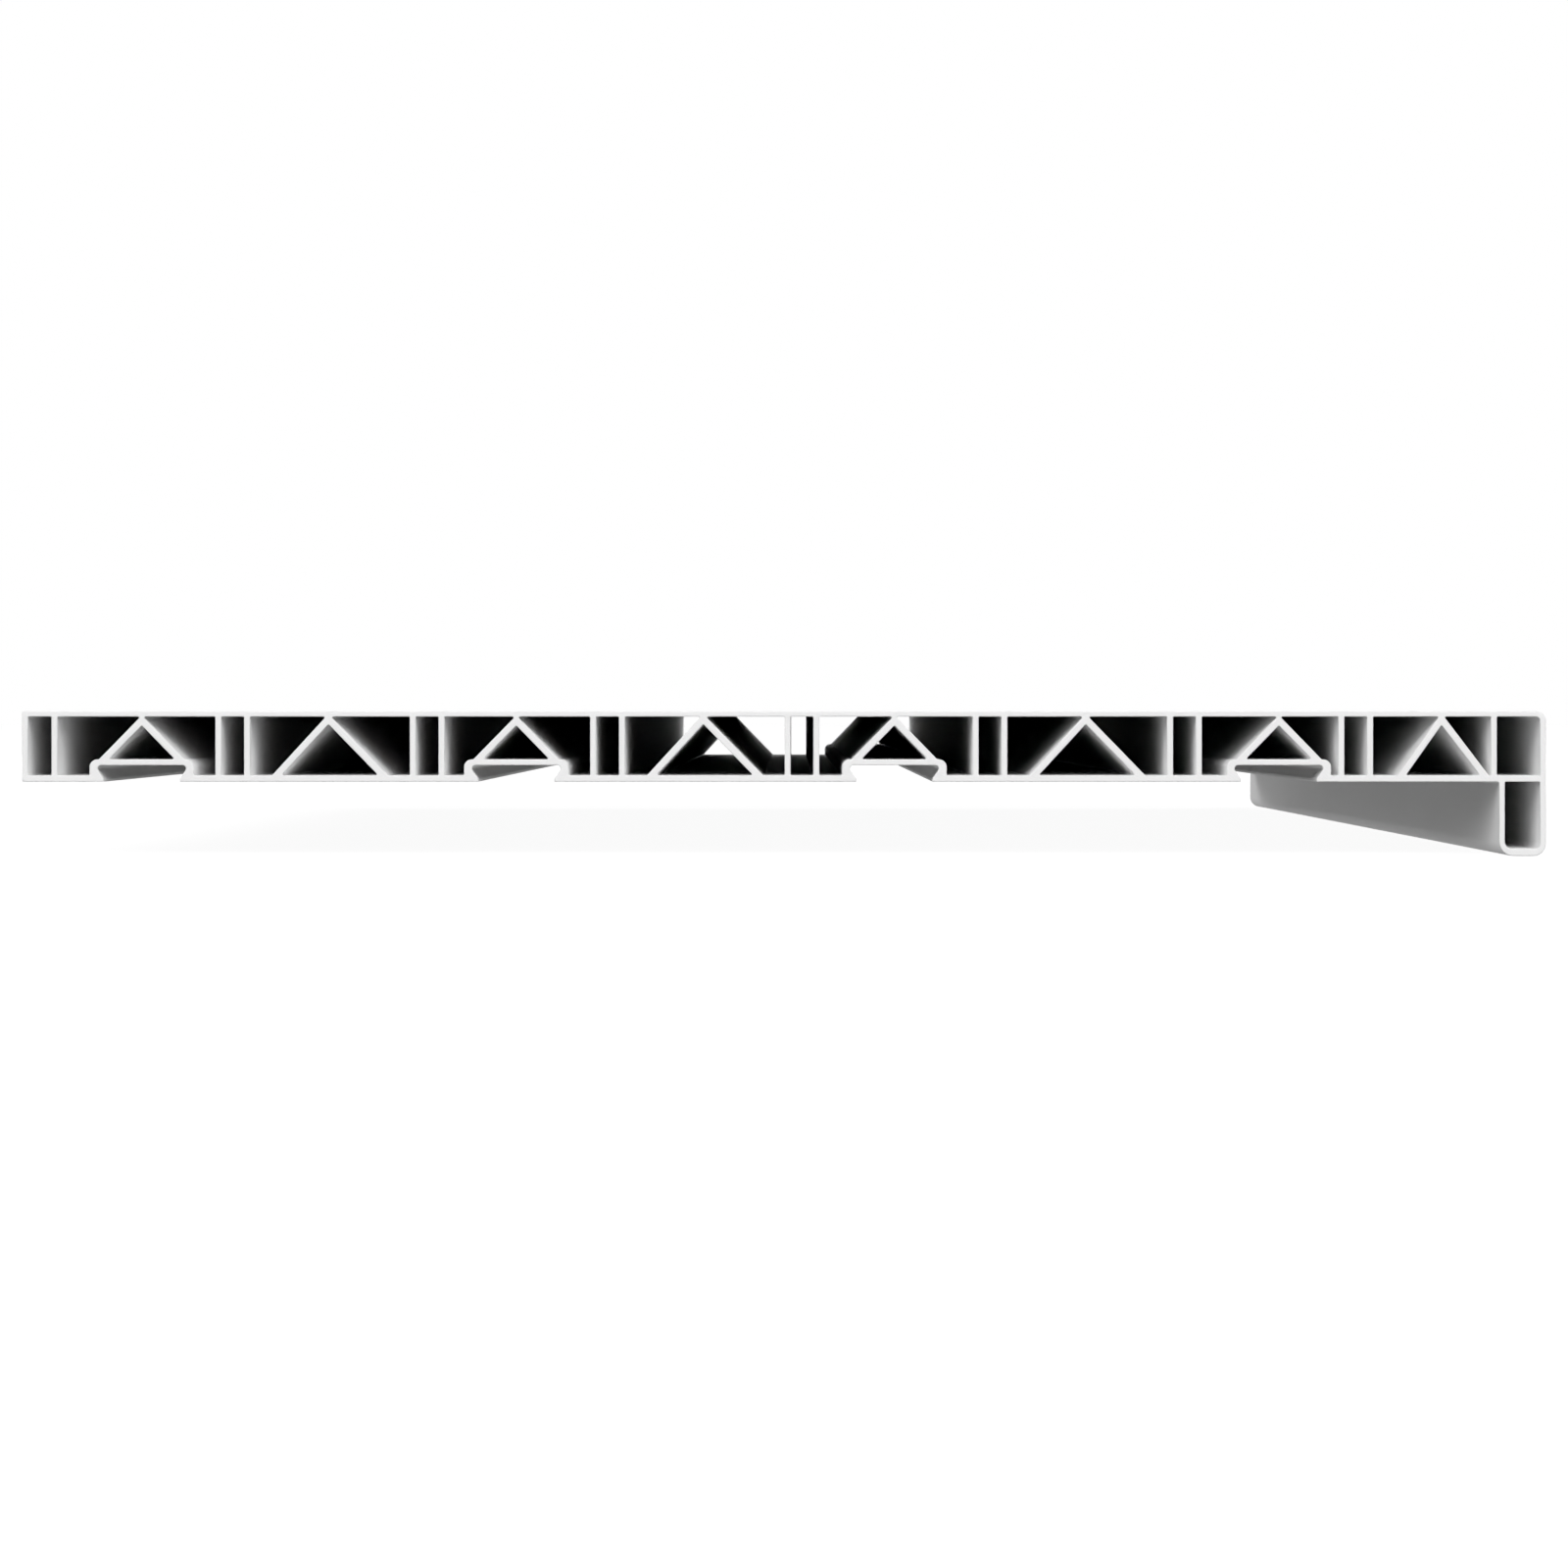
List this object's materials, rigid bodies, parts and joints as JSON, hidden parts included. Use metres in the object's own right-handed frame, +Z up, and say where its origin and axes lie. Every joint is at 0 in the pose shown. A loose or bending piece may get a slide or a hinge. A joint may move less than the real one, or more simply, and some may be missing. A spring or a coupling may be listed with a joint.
{
  "type": "window sill",
  "caption": "Hollow white plastic window sill board: ribbed and trussed chambers inside, undercut grooves in the underside, and a deeper drip nose along the front edge.",
  "frame": {"origin": "below the middle of the board, at the height of the tip of the front lip", "axes": "+X from the window edge to the nose, +Y along the window and the extrusion, +Z up out of the top face"},
  "size_m": [0.4, 0.6, 0.038],
  "materials": {
    "white_plastic": "satin white rigid vinyl, smooth as extruded, with sawn ends"
  },
  "bodies": {
    "root": {"sill_board": "white_plastic"}
  },
  "joints": []
}
